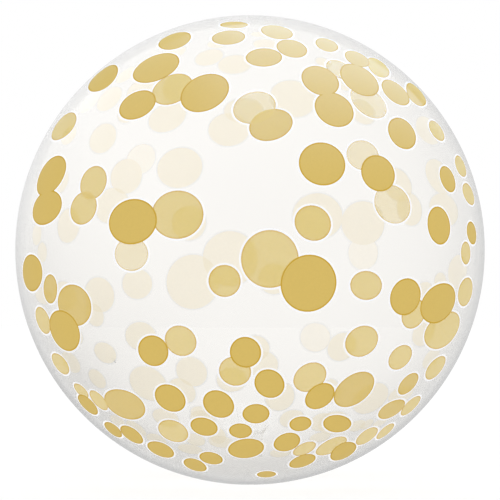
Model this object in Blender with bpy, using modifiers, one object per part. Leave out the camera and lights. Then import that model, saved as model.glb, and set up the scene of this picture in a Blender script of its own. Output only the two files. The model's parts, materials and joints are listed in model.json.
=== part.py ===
"""Clear bubble balloon: a round balloon of clear film with its flattened filling neck.

Metres, +Z up. The balloon lies on a small flat spot, whose centre is the origin.
Its printed front faces -Y, and the neck points back and down, towards +Y.
"""
import math

import bmesh
import bpy
from mathutils import Vector

# The envelope, filled with air and standing on its rest spot
BALLOON_DIAMETER = 0.508
REST_SPOT_DIAMETER = 0.040

# The filling neck: the film gathers in a short throat and runs out in a flat, sealed tube
THROAT_WIDTH = 0.050
THROAT_HEIGHT = 0.042
THROAT_LENGTH = 0.024
NECK_WIDTH = 0.028
NECK_THICKNESS = 0.0016
NECK_LENGTH = 0.030
NECK_END_HEIGHT = 0.018

# How finely the round forms are faceted
TURN_STEPS = 72
CROWN_STEPS = 18
BELLY_STEPS = 17
NECK_EDGE_STEPS = 8
THROAT_STEPS = 7

# Finish of the clear film
FILM_COLOUR = (0.94, 0.93, 0.89, 1.0)
FILM_ROUGHNESS = 0.05
FILM_ALPHA = 0.35
SHARP_ANGLE = math.radians(35.0)

RADIUS = BALLOON_DIAMETER / 2
REST_SPOT_RADIUS = REST_SPOT_DIAMETER / 2
CENTRE_HEIGHT = math.sqrt(RADIUS**2 - REST_SPOT_RADIUS**2)
NECK_REACH = THROAT_LENGTH + NECK_LENGTH
NECK_SLOPE = math.asin((CENTRE_HEIGHT - NECK_END_HEIGHT) / (RADIUS + NECK_REACH))
# The body bulges this far across the throat, so the neck is rooted three times as deep
THROAT_BULGE = RADIUS - math.sqrt(RADIUS**2 - (THROAT_WIDTH / 2) ** 2)
NECK_ROOT_DEPTH = 3 * THROAT_BULGE


def clear_scene():
    """Remove whatever the open file holds."""
    for thing in list(bpy.data.objects):
        bpy.data.objects.remove(thing)


def new_collection(name):
    """Return a new collection under the scene."""
    group = bpy.data.collections.new(name)
    bpy.context.scene.collection.children.link(group)
    return group


def new_object(name, bm, group):
    """Turn a bmesh into a named object in a collection."""
    mesh = bpy.data.meshes.new(name)
    bm.to_mesh(mesh)
    bm.free()
    thing = bpy.data.objects.new(name, mesh)
    group.objects.link(thing)
    return thing


def clear_film():
    """Clear, faintly warm balloon film."""
    material = bpy.data.materials.new("clear_film")
    material.use_nodes = True
    shader = material.node_tree.nodes["Principled BSDF"]
    shader.inputs["Base Color"].default_value = FILM_COLOUR
    shader.inputs["Roughness"].default_value = FILM_ROUGHNESS
    shader.inputs["Metallic"].default_value = 0.0
    shader.inputs["Alpha"].default_value = FILM_ALPHA
    material.diffuse_color = FILM_COLOUR
    return material


def envelope(group):
    """The round body, turned from its half outline: crown, belly, rest spot."""
    bm = bmesh.new()
    spot_edge = math.asin(CENTRE_HEIGHT / RADIUS)
    angles = [math.pi / 2 * (1 - step / CROWN_STEPS) for step in range(1, CROWN_STEPS)]
    angles += [-spot_edge * step / BELLY_STEPS for step in range(BELLY_STEPS)]
    outline = [bm.verts.new((0.0, 0.0, CENTRE_HEIGHT + RADIUS))]
    for angle in angles:
        height = CENTRE_HEIGHT + RADIUS * math.sin(angle)
        outline.append(bm.verts.new((RADIUS * math.cos(angle), 0.0, height)))
    outline.append(bm.verts.new((REST_SPOT_RADIUS, 0.0, 0.0)))
    outline.append(bm.verts.new((0.0, 0.0, 0.0)))
    for upper, lower in zip(outline, outline[1:]):
        bm.edges.new((upper, lower))
    body = new_object("clear_bubble", bm, group)
    turn = body.modifiers.new("turn", "SCREW")
    turn.steps = TURN_STEPS
    turn.render_steps = TURN_STEPS
    turn.use_merge_vertices = True
    turn.merge_threshold = 0.00001
    return body


def neck_section(reach):
    """Half width and half thickness of the neck at a distance beyond the round body."""
    left = 1.0 - min(max(reach / THROAT_LENGTH, 0.0), 1.0)
    half_width = (NECK_WIDTH + (THROAT_WIDTH - NECK_WIDTH) * left**2) / 2
    half_thickness = (NECK_THICKNESS + (THROAT_HEIGHT - NECK_THICKNESS) * left**2) / 2
    return half_width, half_thickness


def neck_outline_point(side, half_width, half_thickness):
    """Corner number `side` of a section: two round edges joined by flat broad sides."""
    on_left = side > NECK_EDGE_STEPS
    step = side - (NECK_EDGE_STEPS + 1) * on_left
    angle = math.pi * (step / NECK_EDGE_STEPS - 0.5 + on_left)
    edge_centre = (half_width - half_thickness) * (-1 if on_left else 1)
    return edge_centre + half_thickness * math.cos(angle), half_thickness * math.sin(angle)


def filling_neck(group):
    """Throat and flat neck, as a cylinder cut into rings that are each given their section."""
    sides = 2 * (NECK_EDGE_STEPS + 1)
    bm = bmesh.new()
    length = NECK_ROOT_DEPTH + NECK_REACH
    bmesh.ops.create_cone(bm, cap_ends=True, segments=sides, radius1=1.0, radius2=1.0, depth=length)
    bmesh.ops.translate(bm, vec=(0.0, 0.0, length / 2 - NECK_ROOT_DEPTH), verts=bm.verts)
    along = Vector((0.0, 0.0, 1.0))
    for ring in range(THROAT_STEPS + 1):
        reach = THROAT_LENGTH * ring / THROAT_STEPS
        everything = list(bm.verts) + list(bm.edges) + list(bm.faces)
        bmesh.ops.bisect_plane(bm, geom=everything, plane_co=along * reach, plane_no=along)
    for corner in bm.verts:
        turn = math.atan2(corner.co.y, corner.co.x) % (2 * math.pi)
        side = round(turn / (2 * math.pi) * sides) % sides
        corner.co.x, corner.co.y = neck_outline_point(side, *neck_section(corner.co.z))
    bmesh.ops.recalc_face_normals(bm, faces=bm.faces)
    neck = new_object("filling_neck_form", bm, group)
    outward = Vector((0.0, math.cos(NECK_SLOPE), -math.sin(NECK_SLOPE)))
    neck.location = Vector((0.0, 0.0, CENTRE_HEIGHT)) + outward * RADIUS
    neck.rotation_euler = (-math.pi / 2 - NECK_SLOPE, 0.0, 0.0)
    neck.hide_render = True
    neck.display_type = "WIRE"
    return neck


def fuse(body, form):
    """Join a form to the body as one moulding, and keep the result as the body's mesh."""
    join = body.modifiers.new("fuse_" + form.name, "BOOLEAN")
    join.operation = "UNION"
    join.solver = "EXACT"
    join.object = form
    bpy.context.view_layer.update()
    evaluated = body.evaluated_get(bpy.context.evaluated_depsgraph_get())
    body.data = bpy.data.meshes.new_from_object(evaluated)
    body.modifiers.clear()
    body.data.shade_smooth()
    body.data.set_sharp_from_angle(angle=SHARP_ANGLE)


def main():
    clear_scene()
    balloon = new_collection("clear_bubble_balloon")
    forms = new_collection("joining_forms")
    body = envelope(balloon)
    fuse(body, filling_neck(forms))
    body.data.materials.clear()
    body.data.materials.append(clear_film())


main()
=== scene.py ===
"""Looks of the clear bubble balloon: a round envelope of clear stretch film, printed with gold dots.

Metres, +Z up, printed front towards -Y. The film is one piece with an outer and an inner wall, and the
dots lie flush in it: each outline is cut into the walls and filled with its own ink.
"""
import json
import math
from collections import namedtuple

import bmesh
import bpy
import numpy as np
from mathutils import Matrix, Vector


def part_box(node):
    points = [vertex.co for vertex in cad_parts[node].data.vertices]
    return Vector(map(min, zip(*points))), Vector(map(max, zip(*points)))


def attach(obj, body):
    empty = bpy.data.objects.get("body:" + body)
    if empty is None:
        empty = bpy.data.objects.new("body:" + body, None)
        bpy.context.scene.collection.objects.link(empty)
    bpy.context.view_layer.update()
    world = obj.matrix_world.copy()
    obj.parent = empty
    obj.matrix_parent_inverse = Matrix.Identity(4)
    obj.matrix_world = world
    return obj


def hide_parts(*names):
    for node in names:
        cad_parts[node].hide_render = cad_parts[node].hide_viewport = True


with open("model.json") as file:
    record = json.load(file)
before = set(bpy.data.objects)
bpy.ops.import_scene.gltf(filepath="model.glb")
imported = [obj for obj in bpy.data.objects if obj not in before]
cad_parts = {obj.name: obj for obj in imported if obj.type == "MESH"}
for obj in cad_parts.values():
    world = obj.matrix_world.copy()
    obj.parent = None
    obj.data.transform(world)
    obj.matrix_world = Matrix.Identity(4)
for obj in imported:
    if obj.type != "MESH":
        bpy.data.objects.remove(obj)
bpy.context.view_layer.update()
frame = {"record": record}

# The balloon's size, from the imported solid
LOWEST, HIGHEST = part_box("clear_bubble")
RADIUS = (HIGHEST.x - LOWEST.x) / 2
CENTRE = Vector((0.0, 0.0, HIGHEST.z - RADIUS))
FILM_THICKNESS = 0.0002

# The filling neck, low at the back, where the record's mount puts it
NECK_MOUNT = next(mount for mount in frame["record"]["mounts"] if mount["name"] == "neck_face")
NECK_BROADSIDE = Vector(NECK_MOUNT["axis"]).normalized()
NECK_WAY = Vector((0.0, NECK_BROADSIDE.z, -NECK_BROADSIDE.y))
NECK_ACROSS = Vector((1.0, 0.0, 0.0))
NECK_WIDTH = 0.028
NECK_THICKNESS = 0.0016
THROAT_RADIUS = 0.031
THROAT_LENGTH = 0.024
NECK_LENGTH = 0.030
# How far the throat's curves bend beyond the tube's half width and half thickness
WIDE_BEND = NECK_WIDTH / 2 + 0.003
THICK_BEND = 0.004
# How much squarer than an ellipse the tube's section is
SQUARENESS = 1.6
GATHERS = 17
THROAT_GATHER_DEPTH = 0.0011
TUBE_GATHER_DEPTH = 0.00022
# Share of the tube's length over which its gathers die out, and of the throat's that stays open inside
TUBE_GATHER_RUN = 0.7
OPEN_THROAT = 0.8

# The photo's frame, in its own pixels, and the camera that gives it
PHOTO_SIDE = 500
PHOTO_MIDDLE = 250.0
PHOTO_RADIUS = 234.8
CAMERA_DISTANCE = 4.0
SENSOR_WIDTH = 36.0
FOCAL_PIXELS = PHOTO_RADIUS * math.sqrt(CAMERA_DISTANCE**2 - RADIUS**2) / RADIUS

# Dots on the near side: column and row of each centre in the photo, and its diameter on the film in
# millimetres, or for an oval its length, its breadth, and its lean in degrees from level with the edge
SOLID_DOTS = (
    (234, 24.5, 32, 24, -35), (277, 31.5, 41, 34, -75), (228.5, 37, 37, 35, -60),
    (174.5, 40, 52, 36, -85), (327, 44.5, 37, 25, 85), (292, 48, 38, 33, -85), (264, 57, 39, 33, 25),
    (357.5, 58.5, 40, 28, 80), (155.5, 67, 56, 50, -55), (102.5, 77.5, 68, 39, -90),
    (360, 79, 53, 46, -80), (320.5, 80, 46, 41, -85), (204.5, 92, 55, 49, 40), (396, 92, 45, 36, 85),
    (416.5, 94, 60, 29, -85), (137, 104.5, 45, 39, -55), (334.5, 109, 46, 43, -85),
    (402.5, 133, 44, 36, -85), (322.5, 163.5, 51, 47, 65), (378.5, 173, 43, 39, -90),
    (50, 175.5, 61, 44, -70), (448, 179, 32, 29, 90), (45.5, 207.5, 64, 37, -80),
    (132, 221.5, 57, 47, -75), (439.5, 225.5, 40), (472, 233, 31, 24, 75), (31, 273, 60, 39, -85),
    (309, 283.5, 59), (406, 297, 43, 39, -90), (439.5, 303.5, 63, 43, -75), (63.5, 331, 58, 45, 90),
    (153, 351, 37, 33, -85), (245.5, 352.5, 35, 32, -80), (269.5, 384, 37, 30, -75),
    (320, 396.5, 35, 31, 40), (170, 398.5, 37, 34, -70), (218.5, 404.5, 38, 32, -65),
    (87.5, 405, 38, 28, 85), (256, 414, 28), (300.5, 424, 25, 22, -55), (337.5, 424, 40, 24, -65),
    (204, 427, 29), (113, 430, 36, 23, -85), (240.5, 431, 24), (131.5, 435, 36, 28, -80),
    (287, 442.5, 34, 28, 75), (246, 449, 41, 35, 50), (160.5, 450, 39, 30, 85), (343.5, 452, 49, 30, 85),
    (211, 458.5, 29, 25, -85), (302.5, 461.5, 34, 28, 65), (195, 465.5, 38, 25, -80),
    (266.5, 474.5, 24, 20, -75),
)
DEEP_DOTS = (
    (271, 124.5, 48, 36, 40), (50, 289, 34, 26, -45), (73.5, 305.5, 55, 44, 90),
    (408.5, 384, 30, 28, -75), (354.5, 390, 48, 43, 0), (124, 405, 57, 42, 65), (392, 409.5, 40, 28, -60),
)
TINT_DOTS = (
    (378.5, 67, 50, 28, -85), (172, 88.5, 45), (63, 126, 59, 35, -80),
    (437, 130.5, 35, 25, 90), (461, 166, 38, 24, -85), (93, 182.5, 38, 36, 80), (469, 194, 39, 24, 80),
    (83, 208, 39, 35, -75), (177, 214.5, 56, 50, -70), (313, 223, 39, 36, 45), (466, 253, 26, 24, 65),
    (270, 259, 59), (224.5, 281, 33), (366.5, 285.5, 38, 30, -85), (466, 292, 42, 31, -90),
    (414, 314, 35, 32, -75), (42.5, 320.5, 38, 30, 90), (444, 330.5, 72, 42, -75), (180.5, 341, 34),
    (362, 341.5, 39, 35, -60), (400.5, 357.5, 33, 29, -70), (60, 364, 39, 26, 80),
    (436, 368, 41, 29, -75), (235, 371.5, 35, 33, -70), (310, 377.5, 37, 34, 30), (81, 391, 26, 20, 75),
    (98.5, 400.5, 28, 25, -45), (411, 406, 33, 28, -80), (173, 431.5, 39, 33, -90),
    (385.5, 431.5, 31, 23, 70), (367, 436.5, 35, 27, 75), (331.5, 446.5, 37, 32, 30),
    (304.5, 449, 29, 22, 45),
)
PALE_DOTS = (
    (339, 69, 33, 29, -85), (369, 101.5, 44), (254.5, 107, 47, 39, 40), (363, 155, 40, 33, 75),
    (393, 204, 47, 41, 70), (131, 254, 40, 35, -90),
)
# Dots on the far side, seen through the balloon, read the same way
FAR_SOLID_DOTS = (
    (259, 34, 18, 14, -5), (218.5, 43, 25, 21, 0), (265, 44, 26, 23, -10), (175, 52.5, 26, 23, -25),
    (209, 57, 33, 30, -35), (323, 62, 17), (234.5, 64, 37, 34, 0), (126, 74.5, 28, 25, -10),
    (383, 78, 27, 17, -50), (345, 84, 22, 17, 80), (179, 87.5, 51, 37, -90), (140, 88.5, 34),
    (293, 98, 55, 52, -85), (109, 98.5, 39, 34, -85), (243.5, 110.5, 44, 35, 5),
    (128.5, 111, 33, 29, -65), (363, 112, 35, 31, 75), (167, 117, 45, 40, 20), (229, 129, 47, 44, 15),
    (428.5, 130, 52, 35, -90), (68.5, 135, 32, 24, -90), (102.5, 138, 43, 36, -85),
    (179.5, 167.5, 54, 49, 45), (126, 176, 44, 40, -75), (439.5, 176.5, 50, 41, -70), (61.5, 182, 25),
    (398, 184.5, 41, 39, -55), (111.5, 205.5, 46, 41, 70), (410, 209, 38), (445, 209.5, 58, 37, -80),
    (318, 216, 60, 53, -70), (189, 223, 40), (363.5, 223, 56, 50, 90), (68, 225.5, 39),
    (36.5, 234.5, 24), (42, 252.5, 22), (230, 258.5, 63), (458.5, 271.5, 46, 37, -90), (274, 279, 35),
    (440.5, 281.5, 23, 20, -75), (192.5, 282, 64, 61, 65), (137, 284, 39, 34, -90),
    (423.5, 292, 30, 22, 65), (99, 295, 44, 40, 85), (42.5, 296, 40, 19, -80), (64.5, 296, 41, 33, -85),
    (94.5, 315, 27), (424, 333, 38, 32, 80), (76, 335, 22), (140.5, 336.5, 41, 34, -75), (342, 347, 35),
    (255, 349, 33), (105, 353, 32, 26, -65), (431.5, 358.5, 31, 25, 65), (70.5, 362.5, 35, 27, -75),
    (263.5, 365, 35, 33, 80), (191.5, 372, 39, 36, 65), (97, 379, 27, 25, 80),
    (231.5, 380, 34, 32, -35), (148, 384, 49, 46, -85), (182, 391, 35, 31, 45),
    (332, 391.5, 36, 19, -75), (401.5, 395, 43, 25, 65), (280, 397, 41, 33, -80),
    (371, 399, 50, 44, 75), (243.5, 408.5, 30, 25, 75), (200.5, 413, 23, 20, -20),
    (165.5, 418, 32, 29, -45), (202.5, 419, 29, 27, -25), (292, 419, 28), (117, 421, 24, 18, -70),
    (322, 422.5, 32, 26, 90), (380, 423, 20, 14, 50), (334, 423.5, 44, 35, 75),
    (261.5, 424, 25, 18, 90), (367, 424.5, 17), (357.5, 426, 22, 19, 70), (136, 429, 28, 24, 35),
    (217.5, 436, 31, 19, 80), (320, 437.5, 25, 18, 30), (195, 440, 23), (258.5, 440, 29, 23, 85),
    (156.5, 440.5, 27, 24, -80), (220.5, 442, 27, 23, -10), (190, 449.5, 29, 21, -30),
    (280.5, 453, 24, 20, 15),
)
FAR_TINT_DOTS = (
    (89, 102, 33, 29, -90), (140.5, 159, 37), (363.5, 253, 38), (315.5, 337.5, 37, 33, 80),
)

WHITE = (1.0, 1.0, 1.0, 1.0)

# The studio as the film mirrors it, in linear light, from in front of the balloon to behind it
GREYS_ABOVE = (
    (0.0, 0.85), (0.2, 1.25), (0.42, 1.3), (0.64, 1.35),
    (0.8, 1.25), (0.89, 1.12), (0.91, 0.8), (1.0, 0.61),
)
GREYS_BELOW = (
    (0.0, 0.85), (0.15, 0.55), (0.29, 0.25), (0.64, 0.0),
    (0.78, 0.2), (0.87, 0.84), (0.93, 1.08), (1.0, 0.58),
)
LEFT_CONTRAST = 1.7
RIGHT_CONTRAST = 0.6
LEFT_BRIGHTNESS = 1.17
RIGHT_BRIGHTNESS = 1.06
# Light that has passed more walls than this has reached the film's far side, which mirrors an even grey
NEAR_SIDE_WALLS = 1.5
FAR_SIDE_GREY = 0.27
GREY_BEHIND_PRINT = 0.95
# The soft light as the print mirrors it: by height on the balloon's front, and from its middle to its edge
SOFT_LIGHT_WAY = (0.40, -0.47, 0.78)
SOFT_LIGHT_EDGE = (-0.01, 0.05)
SOFT_LIGHT_GLOW = (
    (0.22, 0.0), (0.35, 0.11), (0.49, 0.37), (0.6, 0.65),
    (0.67, 0.72), (0.72, 0.85), (0.86, 1.0), (0.91, 1.1),
)
SOFT_LIGHT_FALL = ((0.0, 1.0), (0.6, 1.0), (0.87, 0.45), (0.9, 0.4), (0.915, 0.0), (1.0, 0.0))
SOFT_LIGHT_POWER = 19.5
SOFT_LIGHT_COLOUR = (0.36, 0.57, 1.0)
# The light weakens to this share of its power, between these two places left of the balloon's middle
SOFT_LIGHT_LEFT = 0.2
SOFT_LIGHT_SIDE = (-0.35, 0.05)
PRINT_GREY = 0.4

# The floor: how white it looks, how much of that takes shade, its half size and its gap below the balloon
FLOOR_WHITE = 1.02
FLOOR_SHADE = 0.25
FLOOR_REACH = 8.0
FLOOR_GAP = 0.0004

# The print in real sizes: a dot's darker edge, the white line round it, and its gap to the neck
DOT_RIM = 0.0015
WHITE_MARGIN = 0.0020
NECK_CLEARANCE = 0.002

# How finely the walls are faceted
FILM_SUBDIVISIONS = 6
OUTLINE_STEP = 0.0065
HALVINGS = 14
FLARE_STEPS = 14
NECK_RING_SPACING = 0.003

FRONT = Vector((0.0, -1.0, 0.0))
Dot = namedtuple("Dot", "way along aside length breadth ink near")

# The inks: colour, how far they cover, and the film's gloss over them, on its outer and its inner wall
Ink = namedtuple("Ink", "colour cover gloss gloss_roughness", defaults=(1.0, 0.16, 0.03))
INKS = {
    "gold_ink": Ink("#D7BA66"),
    "gold_rim": Ink("#CAA436"),
    "deep_ink": Ink("#D6B95C", 0.86),
    "deep_rim": Ink("#CBA63C", 0.93),
    "tint_ink": Ink("#D9BD4F", 0.73),
    "tint_rim": Ink("#CCA630", 0.80),
    "tint_overlap": Ink("#D8BB58", 0.86),
    "pale_ink": Ink("#D9BD4F", 0.43),
    "pale_rim": Ink("#D0AC38", 0.50),
    "white_margin": Ink("#FCFDFF", gloss=1.0, gloss_roughness=0.0),
    "white_backing": Ink("#F9F5EA"),
    "double_backing": Ink("#F5EFDE"),
    "faint_backing": Ink("#FDFBF6"),
    "open_backing": Ink("#FCFAF4", 0.08),
}
# How far the ink's tone strays either way, and the fineness of its mottling and of the neck's folds
INK_STRAY = 0.015
INK_MOTTLE = 420.0
FOLD_MOTTLE = 160.0
SLOT = {name: number for number, name in enumerate(("clear_film", "gathered_film", *INKS))}


def linear(hex_colour):
    """Linear RGBA of an sRGB hex colour."""
    channels = [int(hex_colour[place:place + 2], 16) / 255 for place in (1, 3, 5)]
    bent = [c / 12.92 if c <= 0.04045 else ((c + 0.055) / 1.055) ** 2.4 for c in channels]
    return (*bent, 1.0)


def add_node(tree, kind, links=(), **settings):
    """Add a node, set its properties and inputs, and link the given sockets into it."""
    node = tree.nodes.new(kind)
    for name, value in settings.items():
        if hasattr(node, name):
            setattr(node, name, value)
        else:
            node.inputs[name.replace("_", " ")].default_value = value
    for socket, source in links:
        tree.links.new(source, node.inputs[socket])
    return node


def calculate(tree, operation, *terms, kind="ShaderNodeMath", **settings):
    """The result of one sum, whose terms are sockets or plain values."""
    node = add_node(tree, kind, operation=operation, **settings)
    for place, term in enumerate(terms):
        if isinstance(term, bpy.types.NodeSocket):
            tree.links.new(term, node.inputs[place])
        else:
            node.inputs[place].default_value = term
    return node.outputs["Value" if operation == "DOT_PRODUCT" else 0]


def combine(tree, operation, *terms):
    """The same for vectors."""
    return calculate(tree, operation, *terms, kind="ShaderNodeVectorMath")


def carry(tree, value, limits, results, **settings):
    """A value carried from one range to another, and held at its ends."""
    node = add_node(
        tree,
        "ShaderNodeMapRange",
        links=[("Value", value)],
        From_Min=limits[0],
        From_Max=limits[1],
        To_Min=results[0],
        To_Max=results[1],
        **settings,
    )
    return node.outputs["Result"]


def parts_of(tree, vector):
    """The three parts of a vector."""
    return add_node(tree, "ShaderNodeSeparateXYZ", links=[("Vector", vector)]).outputs


# Placing the dots


def on_balloon(column, row, near):
    """The way from the balloon's middle to where a photo pixel's line of sight meets the film."""
    eye = Vector((0.0, -CAMERA_DISTANCE, 0.0))
    sight = Vector((column - PHOTO_MIDDLE, FOCAL_PIXELS, PHOTO_MIDDLE - row)).normalized()
    halfway = -eye.dot(sight)
    inside = max(RADIUS**2 - (eye.length_squared - halfway**2), 0.0)
    reach = halfway - math.sqrt(inside) * (1 if near else -1)
    return (eye + sight * reach) / RADIUS


def place_dot(way, length, breadth, lean, ink, near):
    """A dot on the film, its length leaning so far from level with the balloon's edge."""
    level = way.cross(FRONT).normalized()
    along = Matrix.Rotation(math.radians(lean), 3, way) @ level
    return Dot(way, along, way.cross(along), length, breadth, ink, near)


def read_dots(rows, ink, near):
    """Dots of one ink on one side of the balloon, from their places in the photo and their real sizes."""
    dots = []
    for column, row, length, *oval in rows:
        breadth, lean = oval or (length, 0.0)
        way = on_balloon(column, row, near).normalized()
        dots.append(place_dot(way, length / 1000, breadth / 1000, lean, ink, near))
    return dots


def all_dots():
    """Every dot, but those that would lose more than a quarter of their length to the neck."""
    dots = read_dots(SOLID_DOTS, "gold", True)
    dots += read_dots(DEEP_DOTS, "deep", True)
    dots += read_dots(TINT_DOTS, "tint", True)
    dots += read_dots(PALE_DOTS, "pale", True)
    dots += read_dots(FAR_SOLID_DOTS, "gold", False)
    dots += read_dots(FAR_TINT_DOTS, "tint", False)
    reach = RADIUS * math.asin(THROAT_RADIUS / RADIUS) + NECK_CLEARANCE
    return [dot for dot in dots if dot.way.angle(NECK_WAY) * RADIUS > reach + dot.length / 4]


# The film's walls, first as the corners and triangles of a sphere of radius 1


def unit(vectors):
    """The same ways, each of length 1."""
    return vectors / np.linalg.norm(vectors, axis=1, keepdims=True)


def round_wall():
    """A finely faceted sphere."""
    bm = bmesh.new()
    bmesh.ops.create_icosphere(bm, subdivisions=FILM_SUBDIVISIONS, radius=1.0)
    corners = np.array([corner.co[:] for corner in bm.verts])
    faces = np.array([[corner.index for corner in face.verts] for face in bm.faces])
    bm.free()
    return unit(corners), faces


def depth_in(ways, dot, offset=0.0):
    """Above 0 for the ways that lie inside a dot's outline, moved outwards by an offset."""
    along = ways @ np.array(dot.along) / math.sin((dot.length / 2 + offset) / RADIUS)
    aside = ways @ np.array(dot.aside) / math.sin((dot.breadth / 2 + offset) / RADIUS)
    return np.where(ways @ np.array(dot.way) > 0.0, 1.0 - along**2 - aside**2, -1.0)


def rim_width(dot):
    """How wide a dot's darker edge is: the dots on the back are printed plainer, without it."""
    return DOT_RIM if dot.near else 0.0


def outline_offsets(dot):
    """Where the outer wall is cut for a dot: its darker edge, its outline and its white line."""
    return sorted({-rim_width(dot), 0.0, WHITE_MARGIN})


def divide(face, cuts):
    """The triangles of a face whose sides are cut: each cut is its new corner, or None."""
    uncut = cuts.count(None)
    if uncut == 3:
        return [face]
    while (uncut == 2 and cuts[0] is None) or (uncut == 1 and cuts[2] is not None):
        face = face[1:] + face[:1]
        cuts = cuts[1:] + cuts[:1]
    a, b, c = face
    ab, bc, ca = cuts
    if uncut == 2:
        return [(a, ab, c), (ab, b, c)]
    if uncut == 1:
        return [(ab, b, bc), (a, ab, bc), (a, bc, c)]
    return [(a, ab, ca), (ab, b, bc), (ca, bc, c), (ab, bc, ca)]


def cut_sides(corners, faces, sides, fresh):
    """Put a fresh corner on each of the given sides, and divide the triangles round it to match."""
    number = {tuple(side): len(corners) + place for place, side in enumerate(sides.tolist())}
    touched = np.zeros(len(corners), bool)
    touched[sides] = True
    near = touched[faces].sum(axis=1) > 1
    made = []
    for face in faces[near].tolist():
        pairs = zip(face, face[1:] + face[:1])
        made += divide(face, [number.get((min(pair), max(pair))) for pair in pairs])
    return np.vstack([corners, fresh]), np.vstack([faces[~near], made])


def crossed_sides(corners, faces, dot, offset):
    """Which corners lie inside an outline, and the sides of the triangles that it crosses."""
    inside = depth_in(corners, dot, offset) > 0.0
    share = inside[faces].sum(axis=1)
    crossed = faces[(share > 0) & (share < 3)]
    sides = np.vstack([crossed[:, [0, 1]], crossed[:, [1, 2]], crossed[:, [2, 0]]])
    return inside, np.unique(np.sort(sides, axis=1), axis=0)


def cut_outline(corners, faces, dot, offset):
    """Refine the wall along a dot's outline, and cut it there."""
    while True:
        inside, sides = crossed_sides(corners, faces, dot, offset)
        spans = np.linalg.norm(corners[sides[:, 0]] - corners[sides[:, 1]], axis=1)
        long_sides = sides[spans > OUTLINE_STEP / RADIUS]
        if not len(long_sides):
            break
        corners, faces = cut_sides(corners, faces, long_sides, unit(corners[long_sides].sum(axis=1)))
    sides = sides[inside[sides[:, 0]] != inside[sides[:, 1]]]
    first_inside = inside[sides[:, :1]]
    inner = np.where(first_inside, corners[sides[:, 0]], corners[sides[:, 1]])
    outer = np.where(first_inside, corners[sides[:, 1]], corners[sides[:, 0]])
    for _ in range(HALVINGS):
        middle = unit(inner + outer)
        within = depth_in(middle, dot, offset)[:, None] > 0.0
        inner = np.where(within, middle, inner)
        outer = np.where(within, outer, middle)
    return cut_sides(corners, faces, sides, inner)


def ink_faces(corners, faces, dots, outer):
    """The ink slot of each triangle: which dots its middle is in decides."""
    middles = unit(corners[faces].sum(axis=1))
    slots = np.full(len(faces), SLOT["clear_film"])
    layers = {"gold": [], "deep": [], "tint": [], "pale": []}
    for dot in dots:
        slots[depth_in(middles, dot, WHITE_MARGIN) > 0.0] = SLOT["white_margin"]
        layers[dot.ink].append((dot, depth_in(middles, dot) > 0.0))
    if not outer:
        slots[:] = SLOT["clear_film"]
    tinted = np.zeros(len(faces), int)
    golden = np.zeros(len(faces), int)
    for ink in ("pale", "tint", "deep"):
        for dot, inside in layers[ink]:
            tinted += inside
            if outer:
                slots[inside] = SLOT[ink + "_rim"]
            else:
                slots[inside] = SLOT["open_backing" if dot.near else "faint_backing"]
        for dot, inside in layers[ink] if outer else ():
            slots[depth_in(middles, dot, -rim_width(dot)) > 0.0] = SLOT[ink + "_ink"]
    if outer:
        slots[tinted > 1] = SLOT["tint_overlap"]
    for dot, inside in layers["gold"]:
        golden += inside
        slots[inside] = SLOT["gold_rim" if outer else "white_backing"]
    for dot, inside in layers["gold"] if outer else ():
        slots[depth_in(middles, dot, -rim_width(dot)) > 0.0] = SLOT["gold_ink"]
    if not outer:
        slots[golden > 1] = SLOT["double_backing"]
    return slots


# The neck


def curve_point(start, bend, end, along):
    """A point on a smooth bend from start to end, drawn towards the bend point."""
    return start * (1 - along) ** 2 + bend * 2 * along * (1 - along) + end * along**2


def neck_sections(inset, stop):
    """Reach, half width, half thickness and flatness of the neck's rings, root to end."""
    root = math.sqrt(RADIUS**2 - THROAT_RADIUS**2) - RADIUS
    slope = THROAT_RADIUS / (RADIUS + root)
    wide_knee = root + slope * (THROAT_RADIUS - WIDE_BEND)
    rings = []
    for step in range(1, FLARE_STEPS + 1):
        along = step / FLARE_STEPS
        reach = curve_point(root, wide_knee, THROAT_LENGTH, along)
        half_width = curve_point(THROAT_RADIUS, WIDE_BEND, NECK_WIDTH / 2, along)
        half_thickness = curve_point(THROAT_RADIUS, THICK_BEND, NECK_THICKNESS / 2, along)
        rings.append((reach, half_width - inset, half_thickness - inset, along))
    reach = THROAT_LENGTH
    while reach < THROAT_LENGTH + NECK_LENGTH - NECK_RING_SPACING / 2:
        reach += NECK_RING_SPACING
        rings.append((reach, NECK_WIDTH / 2 - inset, NECK_THICKNESS / 2 - inset, 1.0))
    return [ring for ring in rings if ring[0] <= stop + NECK_RING_SPACING / 4]


def neck_place(turn, ring):
    """Where the film lies on one ring of the neck, with its gathers."""
    reach, half_width, half_thickness, flatness = ring
    roundness = 2 / (2 + SQUARENESS * flatness)
    wide = math.copysign(abs(math.cos(turn)) ** roundness, math.cos(turn))
    thick = math.copysign(abs(math.sin(turn)) ** roundness, math.sin(turn))
    gather = math.sin(math.pi * flatness) * THROAT_GATHER_DEPTH
    if flatness == 1.0:
        run = (reach - THROAT_LENGTH) / (NECK_LENGTH * TUBE_GATHER_RUN)
        gather += TUBE_GATHER_DEPTH * max(0.0, 1 - run)
    fold = gather * math.cos(turn * GATHERS)
    across = half_width * wide + fold * math.cos(turn)
    broad = half_thickness * thick + fold * math.sin(turn)
    return NECK_WAY * (RADIUS + reach) + NECK_ACROSS * across + NECK_BROADSIDE * broad


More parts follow.
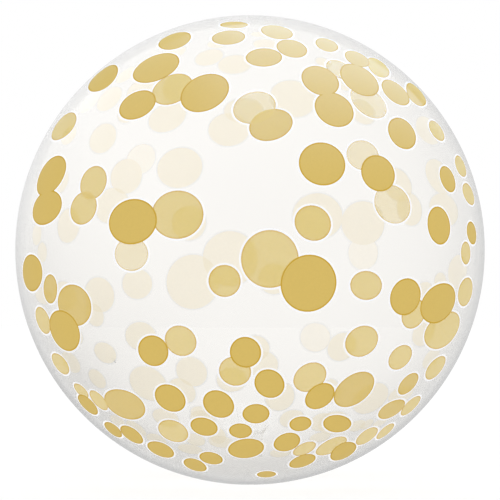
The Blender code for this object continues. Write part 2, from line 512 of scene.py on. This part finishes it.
def draw_neck(bm, inset, stop):
    """Open the wall at the throat and draw the neck out of its edge, ring by ring."""
    opening = math.cos(math.asin(THROAT_RADIUS / RADIUS))
    inside = [face for face in bm.faces if face.calc_center_median().normalized().dot(NECK_WAY) > opening]
    bmesh.ops.delete(bm, geom=inside, context="FACES")
    edges = [edge for edge in bm.edges if edge.is_boundary]
    bmesh.ops.subdivide_edges(bm, edges=edges, cuts=1)
    edges = [edge for edge in bm.edges if edge.is_boundary]
    corners = {corner for edge in edges for corner in edge.verts}
    turns = {}
    for corner in corners:
        corner.co = corner.co.normalized() * (RADIUS - inset)
        turns[corner] = math.atan2(corner.co.dot(NECK_BROADSIDE), corner.co.dot(NECK_ACROSS))
    for ring in neck_sections(inset, stop):
        drawn = bmesh.ops.extrude_edge_only(bm, edges=edges)["geom"]
        fresh = [part for part in drawn if isinstance(part, bmesh.types.BMVert)]
        edges = [part for part in drawn if isinstance(part, bmesh.types.BMEdge) and part.is_boundary]
        for corner in fresh:
            parent = next(e.other_vert(corner) for e in corner.link_edges if e.other_vert(corner) in turns)
            turns[corner] = turns[parent]
            corner.co = neck_place(turns[corner], ring)
        turns = {corner: turns[corner] for corner in fresh}
        for part in drawn:
            if isinstance(part, bmesh.types.BMFace):
                part.material_index = SLOT["gathered_film"]
    for cap in bmesh.ops.holes_fill(bm, edges=edges, sides=0)["faces"]:
        cap.material_index = SLOT["gathered_film"]


def flatten_rest_spot(bm, inset):
    """Press the wall flat where the balloon lies on the floor."""
    floor = inset - CENTRE.z
    for corner in bm.verts:
        corner.co.z = max(corner.co.z, floor)


def film_wall(dots, outer):
    """One wall of the film, with its dots, its neck and its flat spot."""
    inset = 0.0 if outer else FILM_THICKNESS
    radius = RADIUS - inset
    corners, faces = round_wall()
    for dot in dots:
        for offset in outline_offsets(dot) if outer else (0.0,):
            corners, faces = cut_outline(corners, faces, dot, offset)
    throat = 2 * RADIUS * math.asin(THROAT_RADIUS / RADIUS)
    corners, faces = cut_outline(corners, faces, place_dot(NECK_WAY, throat, throat, 0.0, None, False), 0.0)
    mesh = bpy.data.meshes.new("film_wall")
    mesh.from_pydata((corners * radius).tolist(), [], faces.tolist())
    mesh.polygons.foreach_set("material_index", ink_faces(corners, faces, dots, outer))
    bm = bmesh.new()
    bm.from_mesh(mesh)
    stop = THROAT_LENGTH + NECK_LENGTH if outer else THROAT_LENGTH * OPEN_THROAT
    draw_neck(bm, inset, stop)
    bmesh.ops.triangulate(bm, faces=[face for face in bm.faces if len(face.verts) > 3])
    bmesh.ops.recalc_face_normals(bm, faces=bm.faces[:])
    if not outer:
        bmesh.ops.reverse_faces(bm, faces=bm.faces[:])
    normals = []
    for corner in bm.verts:
        on_sphere = abs(corner.co.length - radius) < FILM_THICKNESS / 4
        facing = corner.co.normalized() * (1 if outer else -1)
        normals.append(facing if on_sphere else Vector())
    flatten_rest_spot(bm, inset)
    bmesh.ops.translate(bm, vec=CENTRE, verts=bm.verts)
    bm.to_mesh(mesh)
    bm.free()
    return mesh, normals


def bubble_film():
    """The whole balloon: outer and inner wall as one piece of film."""
    dots = all_dots()
    outer_wall, outer_normals = film_wall(dots, True)
    inner_wall, inner_normals = film_wall(dots, False)
    bm = bmesh.new()
    bm.from_mesh(outer_wall)
    bm.from_mesh(inner_wall)
    mesh = bpy.data.meshes.new("bubble_film")
    bm.to_mesh(mesh)
    bm.free()
    bpy.data.meshes.remove(outer_wall)
    bpy.data.meshes.remove(inner_wall)
    mesh.shade_smooth()
    mesh.normals_split_custom_set_from_vertices(outer_normals + inner_normals)
    film = bpy.data.objects.new("bubble_film", mesh)
    bpy.context.scene.collection.objects.link(film)
    # The gloss shows the studio alone, not the print on the balloon's other side
    film.visible_glossy = False
    return film


# Materials


def principled(name, **settings):
    """A material with one Principled shader and the given plain values on it."""
    material = bpy.data.materials.new(name)
    material.use_nodes = True
    material.node_tree.nodes.clear()
    shader = add_node(material.node_tree, "ShaderNodeBsdfPrincipled", **settings)
    add_node(material.node_tree, "ShaderNodeOutputMaterial", links=[("Surface", shader.outputs["BSDF"])])
    return material, shader


def stretch_film():
    """Thermoplastic polyurethane, blown thin: clear, glossy, very slightly warm."""
    material, _ = principled(
        "clear_film",
        Base_Color=linear("#FFFEFC"),
        Roughness=0.0,
        IOR=1.49,
        Transmission_Weight=1.0,
    )
    return material


def gathered_film():
    """The same film gathered in many small folds: milky, because each fold mirrors the light."""
    material, shader = principled("gathered_film", Roughness=0.4, Specular_IOR_Level=0.15, Alpha=0.13)
    tree = material.node_tree
    place = add_node(tree, "ShaderNodeTexCoord")
    folds = add_node(
        tree,
        "ShaderNodeTexNoise",
        links=[("Vector", place.outputs["Object"])],
        Scale=FOLD_MOTTLE,
        Detail=4.0,
    )
    shade = add_node(tree, "ShaderNodeMix", links=[("Factor", folds.outputs["Fac"])], data_type="RGBA")
    shade.inputs["A"].default_value = linear("#E9E7E1")
    shade.inputs["B"].default_value = linear("#FDFCFA")
    tree.links.new(shade.outputs["Result"], shader.inputs["Base Color"])
    return material


def ink(name, recipe):
    """Screen-printed ink under the film's gloss, faintly mottled as the ink settles."""
    material, shader = principled(
        name,
        Roughness=0.6,
        Specular_IOR_Level=0.1,
        Alpha=recipe.cover,
        Coat_Weight=recipe.gloss,
        Coat_Roughness=recipe.gloss_roughness,
    )
    tree = material.node_tree
    place = add_node(tree, "ShaderNodeTexCoord")
    mottle = add_node(
        tree,
        "ShaderNodeTexNoise",
        links=[("Vector", place.outputs["Object"])],
        Scale=INK_MOTTLE,
        Detail=3.0,
    )
    shade = carry(tree, mottle.outputs["Fac"], (0.3, 0.7), (1.0 - INK_STRAY, 1.0 + INK_STRAY))
    tone = add_node(
        tree, "ShaderNodeHueSaturation", links=[("Value", shade)], Color=linear(recipe.colour)
    )
    tree.links.new(tone.outputs["Color"], shader.inputs["Base Color"])
    return material


def film_materials():
    """The film and its inks, in the order of their slots."""
    return [stretch_film(), gathered_film(), *(ink(name, recipe) for name, recipe in INKS.items())]


# Stage


def camera():
    """The photo's view: level with the balloon's middle, through a long lens."""
    data = bpy.data.cameras.new("camera")
    data.sensor_width = SENSOR_WIDTH
    data.lens = FOCAL_PIXELS * SENSOR_WIDTH / PHOTO_SIDE
    thing = bpy.data.objects.new("camera", data)
    thing.location = CENTRE + Vector((0.0, -CAMERA_DISTANCE, 0.0))
    thing.rotation_euler = (math.pi / 2, 0.0, 0.0)
    bpy.context.scene.collection.objects.link(thing)
    bpy.context.scene.camera = thing


def studio_world():
    """A white studio: white to look at, shades of grey in the film's gloss, a soft light in the print's."""
    world = bpy.data.worlds.new("studio")
    bpy.context.scene.world = world
    world.use_nodes = True
    tree = world.node_tree
    tree.nodes.clear()
    path = add_node(tree, "ShaderNodeLightPath").outputs
    way = add_node(tree, "ShaderNodeTexCoord").outputs["Generated"]
    seen = add_node(tree, "ShaderNodeBackground", Color=WHITE, Strength=1.0)
    passed = calculate(tree, "ADD", path["Transmission Depth"], path["Transparent Depth"])
    through = calculate(tree, "GREATER_THAN", passed, NEAR_SIDE_WALLS)
    far_grey = carry(tree, path["Transparent Depth"], (0.0, 1.0), (FAR_SIDE_GREY, GREY_BEHIND_PRINT))
    greys = add_node(
        tree, "ShaderNodeMix", links=[("Factor", through), ("A", film_greys(tree, way)), ("B", far_grey)]
    )
    in_film = add_node(
        tree, "ShaderNodeBackground", links=[("Strength", greys.outputs["Result"])], Color=WHITE
    )
    glow = add_node(tree, "ShaderNodeMix", links=[("Factor", through)], data_type="RGBA")
    tree.links.new(soft_light(tree, way), glow.inputs["A"])
    glow.inputs["B"].default_value = (PRINT_GREY, PRINT_GREY, PRINT_GREY, 1.0)
    in_print = add_node(
        tree, "ShaderNodeBackground", links=[("Color", glow.outputs["Result"])], Strength=1.0
    )
    mirrored = add_node(
        tree,
        "ShaderNodeMixShader",
        links=[(0, path["Is Singular Ray"]), (1, in_print.outputs[0]), (2, in_film.outputs[0])],
    )
    blend = add_node(
        tree,
        "ShaderNodeMixShader",
        links=[(0, glossy_only(tree, path)), (1, seen.outputs[0]), (2, mirrored.outputs[0])],
    )
    add_node(tree, "ShaderNodeOutputWorld", links=[("Surface", blend.outputs[0])])


def glossy_only(tree, path):
    """1 where gloss leads from the eye to here, and 0 for light that has met something matt."""
    # One matt bounce takes off more than all the gloss on the way adds
    matt_bounce = -100.0
    terms = (path["Diffuse Depth"], matt_bounce, path["Glossy Depth"])
    return calculate(tree, "MULTIPLY_ADD", *terms, use_clamp=True)


def grey_ramp(tree, greys, position):
    """A smooth run of greys along a value from 0 to 1."""
    ramp = add_node(tree, "ShaderNodeValToRGB", links=[("Fac", position)])
    stops = ramp.color_ramp.elements
    while len(stops) < len(greys):
        stops.new(1.0)
    for stop, (place, grey) in zip(stops, greys):
        stop.position = place
        stop.color = (grey, grey, grey, 1.0)
    return ramp.outputs["Color"]


def film_greys(tree, way):
    """The studio in the film's gloss: pale above and behind, darker below."""
    backward = carry(tree, parts_of(tree, way)["Y"], (-1.0, 1.0), (0.0, 1.0))
    above = grey_ramp(tree, GREYS_ABOVE, backward)
    below = grey_ramp(tree, GREYS_BELOW, backward)
    around = combine(tree, "NORMALIZE", combine(tree, "MULTIPLY", way, (1.0, 0.0, 1.0)))
    turn = parts_of(tree, around)
    contrast = carry(tree, turn["X"], (-1.0, 1.0), (LEFT_CONTRAST / 2, RIGHT_CONTRAST / 2))
    height = calculate(tree, "MULTIPLY_ADD", turn["Z"], contrast, 0.5, use_clamp=True)
    mixed = add_node(tree, "ShaderNodeMix", links=[("Factor", height), ("A", below), ("B", above)])
    brightness = carry(tree, turn["X"], (-1.0, 1.0), (LEFT_BRIGHTNESS, RIGHT_BRIGHTNESS))
    return calculate(tree, "MULTIPLY", mixed.outputs["Result"], brightness)


def soft_light(tree, way):
    """A large soft light above and to the right, as the print's gloss mirrors it."""
    # The way that the film faces where it mirrors this way to the front
    parts = parts_of(tree, combine(tree, "NORMALIZE", combine(tree, "SUBTRACT", way, (0.0, 1.0, 0.0))))
    outward = carry(tree, parts_of(tree, way)["Y"], (-1.0, 1.0), (0.0, 1.0))
    glow = grey_ramp(tree, SOFT_LIGHT_GLOW, parts["Z"])
    glow = calculate(tree, "MULTIPLY", glow, grey_ramp(tree, SOFT_LIGHT_FALL, outward))
    powers = (SOFT_LIGHT_POWER * SOFT_LIGHT_LEFT, SOFT_LIGHT_POWER)
    side = carry(tree, parts["X"], SOFT_LIGHT_SIDE, powers, interpolation_type="SMOOTHSTEP")
    reach = combine(tree, "DOT_PRODUCT", way, SOFT_LIGHT_WAY)
    edge = carry(tree, reach, SOFT_LIGHT_EDGE, (0.0, 1.0), interpolation_type="SMOOTHSTEP")
    lit = calculate(tree, "MULTIPLY", calculate(tree, "MULTIPLY", side, edge), glow)
    return combine(tree, "MULTIPLY_ADD", lit, SOFT_LIGHT_COLOUR, (PRINT_GREY, PRINT_GREY, PRINT_GREY))


def studio_floor():
    """A plain pale floor just under the rest spot, which the film's gloss doesn't show."""
    bm = bmesh.new()
    bmesh.ops.create_grid(bm, x_segments=1, y_segments=1, size=FLOOR_REACH)
    bmesh.ops.translate(bm, vec=(0.0, 0.0, -FLOOR_GAP), verts=bm.verts)
    mesh = bpy.data.meshes.new("studio_floor")
    bm.to_mesh(mesh)
    bm.free()
    floor = bpy.data.objects.new("studio_floor", mesh)
    bpy.context.scene.collection.objects.link(floor)
    material = bpy.data.materials.new("pale_floor")
    material.use_nodes = True
    tree = material.node_tree
    tree.nodes.clear()
    path = add_node(tree, "ShaderNodeLightPath")
    glow = carry(
        tree, path.outputs["Diffuse Depth"], (0.0, 1.0), (FLOOR_WHITE - FLOOR_SHADE, 1.0 - FLOOR_SHADE)
    )
    lit = add_node(tree, "ShaderNodeEmission", links=[("Strength", glow)])
    matt = add_node(tree, "ShaderNodeBsdfDiffuse", Color=(FLOOR_SHADE, FLOOR_SHADE, FLOOR_SHADE, 1.0))
    both = add_node(tree, "ShaderNodeAddShader", links=[(0, lit.outputs[0]), (1, matt.outputs[0])])
    add_node(tree, "ShaderNodeOutputMaterial", links=[("Surface", both.outputs[0])])
    mesh.materials.append(material)
    floor.visible_glossy = False


def main():
    """Build the stage and the film with its materials, and hang the film on the root body."""
    bpy.context.scene.view_settings.view_transform = "Standard"
    cycles = bpy.context.scene.cycles
    cycles.blur_glossy = 0.0
    cycles.max_bounces = 24
    cycles.glossy_bounces = 16
    cycles.transmission_bounces = 24
    cycles.transparent_max_bounces = 48
    camera()
    studio_world()
    studio_floor()
    film = bubble_film()
    for material in film_materials():
        film.data.materials.append(material)
    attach(film, "root")
    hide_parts("clear_bubble")


main()
